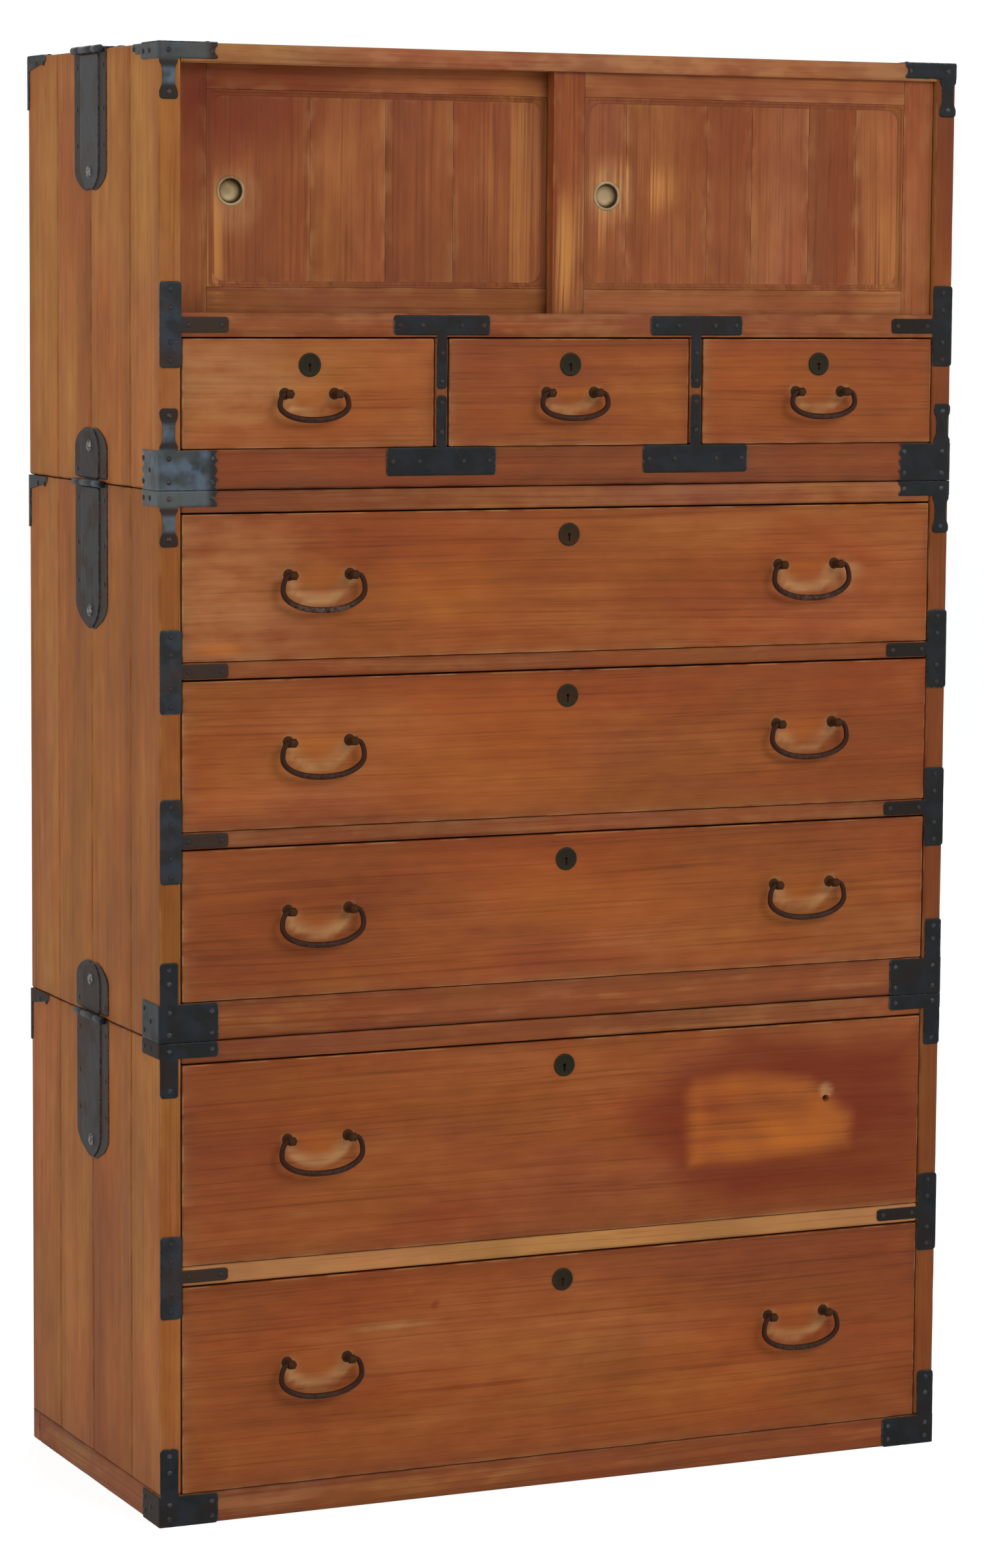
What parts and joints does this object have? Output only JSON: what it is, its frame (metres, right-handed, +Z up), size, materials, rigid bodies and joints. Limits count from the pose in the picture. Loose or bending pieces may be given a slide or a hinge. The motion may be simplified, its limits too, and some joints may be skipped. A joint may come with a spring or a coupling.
{
  "type": "stacking travel chest",
  "caption": "Tall wooden travel chest of stacked lift-off cases with iron bindings, sliding doors, keyed drawers and swinging bail handles.",
  "frame": {"origin": "middle of the underside, on the middle skid's lower face", "axes": "+X to the right as the chest is faced, -Y to the front where the drawers open, +Z up"},
  "size_m": [0.988, 0.4504, 1.6169],
  "materials": {
    "foot_wood": "old waxed wood, worn, with open grain",
    "side_wood": "old waxed wood, worn, with open grain",
    "board_wood": "old waxed wood, worn, with open grain",
    "back_wood": "old waxed wood, worn, with open grain",
    "door_wood": "old waxed wood, worn, with open grain",
    "front_wood": "old waxed wood, worn, with open grain",
    "box_wood": "old waxed wood, worn, with open grain",
    "strap_iron": "blackened, thin and dull, with some rust",
    "bail_iron": "blackened, worn bright where hands hold it",
    "lock_iron": "dull dark grey",
    "cup_metal": "olive brown patina with a worn paler rim"
  },
  "bodies": {
    "base_case": {"base_foot_frame": "foot_wood", "base_sides": "side_wood", "base_boards": "board_wood", "base_back": "back_wood", "base_irons": "strap_iron"},
    "middle_case": {"middle_sides": "side_wood", "middle_boards": "board_wood", "middle_back": "back_wood", "middle_irons": "strap_iron"},
    "top_case": {"top_sides": "side_wood", "top_boards": "board_wood", "top_dividers": "board_wood", "top_back": "back_wood", "top_irons": "strap_iron"},
    "left_door": {"left_door": "door_wood", "left_door_cup": "cup_metal"},
    "right_door": {"right_door": "door_wood", "right_door_cup": "cup_metal"},
    "base_left_strap_leaf": {"base_left_strap_leaf": "strap_iron"},
    "base_right_strap_leaf": {"base_right_strap_leaf": "strap_iron"},
    "middle_left_strap_leaf": {"middle_left_strap_leaf": "strap_iron"},
    "middle_right_strap_leaf": {"middle_right_strap_leaf": "strap_iron"},
    "top_left_strap_leaf": {"top_left_strap_leaf": "strap_iron"},
    "top_right_strap_leaf": {"top_right_strap_leaf": "strap_iron"},
    "top_left_drawer": {"top_left_drawer_front": "front_wood", "top_left_drawer_box": "box_wood", "top_left_drawer_ironwork": "lock_iron"},
    "top_left_bail": {"top_left_bail": "bail_iron"},
    "top_centre_drawer": {"top_centre_drawer_front": "front_wood", "top_centre_drawer_box": "box_wood", "top_centre_drawer_ironwork": "lock_iron"},
    "top_centre_bail": {"top_centre_bail": "bail_iron"},
    "top_right_drawer": {"top_right_drawer_front": "front_wood", "top_right_drawer_box": "box_wood", "top_right_drawer_ironwork": "lock_iron"},
    "top_right_bail": {"top_right_bail": "bail_iron"},
    "middle_upper_drawer": {"middle_upper_drawer_front": "front_wood", "middle_upper_drawer_box": "box_wood", "middle_upper_drawer_ironwork": "lock_iron"},
    "middle_upper_left_bail": {"middle_upper_left_bail": "bail_iron"},
    "middle_upper_right_bail": {"middle_upper_right_bail": "bail_iron"},
    "middle_centre_drawer": {"middle_centre_drawer_front": "front_wood", "middle_centre_drawer_box": "box_wood", "middle_centre_drawer_ironwork": "lock_iron"},
    "middle_centre_left_bail": {"middle_centre_left_bail": "bail_iron"},
    "middle_centre_right_bail": {"middle_centre_right_bail": "bail_iron"},
    "middle_lower_drawer": {"middle_lower_drawer_front": "front_wood", "middle_lower_drawer_box": "box_wood", "middle_lower_drawer_ironwork": "lock_iron"},
    "middle_lower_left_bail": {"middle_lower_left_bail": "bail_iron"},
    "middle_lower_right_bail": {"middle_lower_right_bail": "bail_iron"},
    "base_upper_drawer": {"base_upper_drawer_front": "front_wood", "base_upper_drawer_box": "box_wood", "base_upper_drawer_ironwork": "lock_iron"},
    "base_upper_left_bail": {"base_upper_left_bail": "bail_iron"},
    "base_lower_drawer": {"base_lower_drawer_front": "front_wood", "base_lower_drawer_box": "box_wood", "base_lower_drawer_ironwork": "lock_iron"},
    "base_lower_left_bail": {"base_lower_left_bail": "bail_iron"},
    "base_lower_right_bail": {"base_lower_right_bail": "bail_iron"}
  },
  "joints": [
    {"name": "middle_case_lift", "type": "slide", "parent": "base_case", "child": "middle_case", "axis": [0, 0, 1], "range_m": [0, 0.1]},
    {"name": "top_case_lift", "type": "slide", "parent": "middle_case", "child": "top_case", "axis": [0, 0, 1], "range_m": [0, 0.1]},
    {"name": "left_door_slide", "type": "slide", "parent": "top_case", "child": "left_door", "axis": [1, 0, 0], "range_m": [0, 0.438]},
    {"name": "right_door_slide", "type": "slide", "parent": "top_case", "child": "right_door", "axis": [-1, 0, 0], "range_m": [0, 0.438]},
    {"name": "base_left_strap_hinge", "type": "hinge", "parent": "base_case", "child": "base_left_strap_leaf", "pos_m": [-0.49, 0, 0.537], "axis": [0, -1, 0], "range_deg": [0, 180]},
    {"name": "base_right_strap_hinge", "type": "hinge", "parent": "base_case", "child": "base_right_strap_leaf", "pos_m": [0.49, 0, 0.537], "axis": [0, 1, 0], "range_deg": [0, 180]},
    {"name": "middle_left_strap_hinge", "type": "hinge", "parent": "middle_case", "child": "middle_left_strap_leaf", "pos_m": [-0.49, 0, 1.1354], "axis": [0, -1, 0], "range_deg": [0, 180]},
    {"name": "middle_right_strap_hinge", "type": "hinge", "parent": "middle_case", "child": "middle_right_strap_leaf", "pos_m": [0.49, 0, 1.1354], "axis": [0, 1, 0], "range_deg": [0, 180]},
    {"name": "top_left_strap_hinge", "type": "hinge", "parent": "top_case", "child": "top_left_strap_leaf", "pos_m": [-0.49, 0, 1.6108], "axis": [0, -1, 0], "range_deg": [0, 245]},
    {"name": "top_right_strap_hinge", "type": "hinge", "parent": "top_case", "child": "top_right_strap_leaf", "pos_m": [0.49, 0, 1.6108], "axis": [0, 1, 0], "range_deg": [0, 245]},
    {"name": "top_left_drawer_slide", "type": "slide", "parent": "top_case", "child": "top_left_drawer", "axis": [0, -1, 0], "range_m": [0, 0.33]},
    {"name": "top_left_bail_swing", "type": "hinge", "parent": "top_left_drawer", "child": "top_left_bail", "pos_m": [-0.312, -0.229, 1.2388], "axis": [-1, 0, 0], "range_deg": [0, 110]},
    {"name": "top_centre_drawer_slide", "type": "slide", "parent": "top_case", "child": "top_centre_drawer", "axis": [0, -1, 0], "range_m": [0, 0.33]},
    {"name": "top_centre_bail_swing", "type": "hinge", "parent": "top_centre_drawer", "child": "top_centre_bail", "pos_m": [0, -0.229, 1.2388], "axis": [-1, 0, 0], "range_deg": [0, 110]},
    {"name": "top_right_drawer_slide", "type": "slide", "parent": "top_case", "child": "top_right_drawer", "axis": [0, -1, 0], "range_m": [0, 0.33]},
    {"name": "top_right_bail_swing", "type": "hinge", "parent": "top_right_drawer", "child": "top_right_bail", "pos_m": [0.312, -0.229, 1.2388], "axis": [-1, 0, 0], "range_deg": [0, 110]},
    {"name": "middle_upper_drawer_slide", "type": "slide", "parent": "middle_case", "child": "middle_upper_drawer", "axis": [0, -1, 0], "range_m": [0, 0.33]},
    {"name": "middle_upper_left_bail_swing", "type": "hinge", "parent": "middle_upper_drawer", "child": "middle_upper_left_bail", "pos_m": [-0.3, -0.229, 1.0429], "axis": [-1, 0, 0], "range_deg": [0, 110]},
    {"name": "middle_upper_right_bail_swing", "type": "hinge", "parent": "middle_upper_drawer", "child": "middle_upper_right_bail", "pos_m": [0.3, -0.229, 1.0429], "axis": [-1, 0, 0], "range_deg": [0, 110]},
    {"name": "middle_centre_drawer_slide", "type": "slide", "parent": "middle_case", "child": "middle_centre_drawer", "axis": [0, -1, 0], "range_m": [0, 0.33]},
    {"name": "middle_centre_left_bail_swing", "type": "hinge", "parent": "middle_centre_drawer", "child": "middle_centre_left_bail", "pos_m": [-0.3, -0.229, 0.8609], "axis": [-1, 0, 0], "range_deg": [0, 110]},
    {"name": "middle_centre_right_bail_swing", "type": "hinge", "parent": "middle_centre_drawer", "child": "middle_centre_right_bail", "pos_m": [0.3, -0.229, 0.8609], "axis": [-1, 0, 0], "range_deg": [0, 110]},
    {"name": "middle_lower_drawer_slide", "type": "slide", "parent": "middle_case", "child": "middle_lower_drawer", "axis": [0, -1, 0], "range_m": [0, 0.33]},
    {"name": "middle_lower_left_bail_swing", "type": "hinge", "parent": "middle_lower_drawer", "child": "middle_lower_left_bail", "pos_m": [-0.3, -0.229, 0.6759], "axis": [-1, 0, 0], "range_deg": [0, 110]},
    {"name": "middle_lower_right_bail_swing", "type": "hinge", "parent": "middle_lower_drawer", "child": "middle_lower_right_bail", "pos_m": [0.3, -0.229, 0.6759], "axis": [-1, 0, 0], "range_deg": [0, 110]},
    {"name": "base_upper_drawer_slide", "type": "slide", "parent": "base_case", "child": "base_upper_drawer", "axis": [0, -1, 0], "range_m": [0, 0.33]},
    {"name": "base_upper_left_bail_swing", "type": "hinge", "parent": "base_upper_drawer", "child": "base_upper_left_bail", "pos_m": [-0.3, -0.229, 0.422], "axis": [-1, 0, 0], "range_deg": [0, 110]},
    {"name": "base_lower_drawer_slide", "type": "slide", "parent": "base_case", "child": "base_lower_drawer", "axis": [0, -1, 0], "range_m": [0, 0.33]},
    {"name": "base_lower_left_bail_swing", "type": "hinge", "parent": "base_lower_drawer", "child": "base_lower_left_bail", "pos_m": [-0.3, -0.229, 0.172], "axis": [-1, 0, 0], "range_deg": [0, 110]},
    {"name": "base_lower_right_bail_swing", "type": "hinge", "parent": "base_lower_drawer", "child": "base_lower_right_bail", "pos_m": [0.3, -0.229, 0.172], "axis": [-1, 0, 0], "range_deg": [0, 110]}
  ]
}
